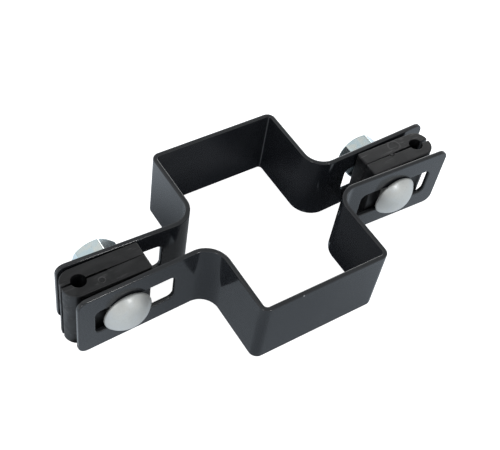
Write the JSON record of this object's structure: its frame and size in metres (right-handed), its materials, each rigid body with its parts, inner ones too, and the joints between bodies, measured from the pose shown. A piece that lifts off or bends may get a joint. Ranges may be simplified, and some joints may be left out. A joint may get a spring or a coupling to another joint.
{
  "type": "fence panel bracket",
  "caption": "Two-part clamp bracket of folded painted strip that closes round a rectangular post, with slotted flanges and split plastic blocks that grip the edge wires of mesh fence panels.",
  "frame": {"origin": "on the post axis, at the lower edge of the folded strips", "axes": "+X along the fence line, -Y to the front where the bolt heads are, +Z along the post axis upwards"},
  "size_m": [0.1311, 0.0644, 0.024],
  "materials": {
    "anthracite_paint": "smooth gloss anthracite paint",
    "black_plastic": "satin black moulded plastic",
    "plated_bolt": "satin silver plating",
    "plated_nut": "bright bluish zinc plating"
  },
  "bodies": {
    "root": {"front_bracket": "anthracite_paint", "rear_bracket": "anthracite_paint", "left_block_front": "black_plastic", "left_block_rear": "black_plastic", "right_block_front": "black_plastic", "right_block_rear": "black_plastic", "left_carriage_bolt": "plated_bolt", "right_carriage_bolt": "plated_bolt", "left_nut": "plated_nut", "right_nut": "plated_nut"}
  },
  "joints": []
}
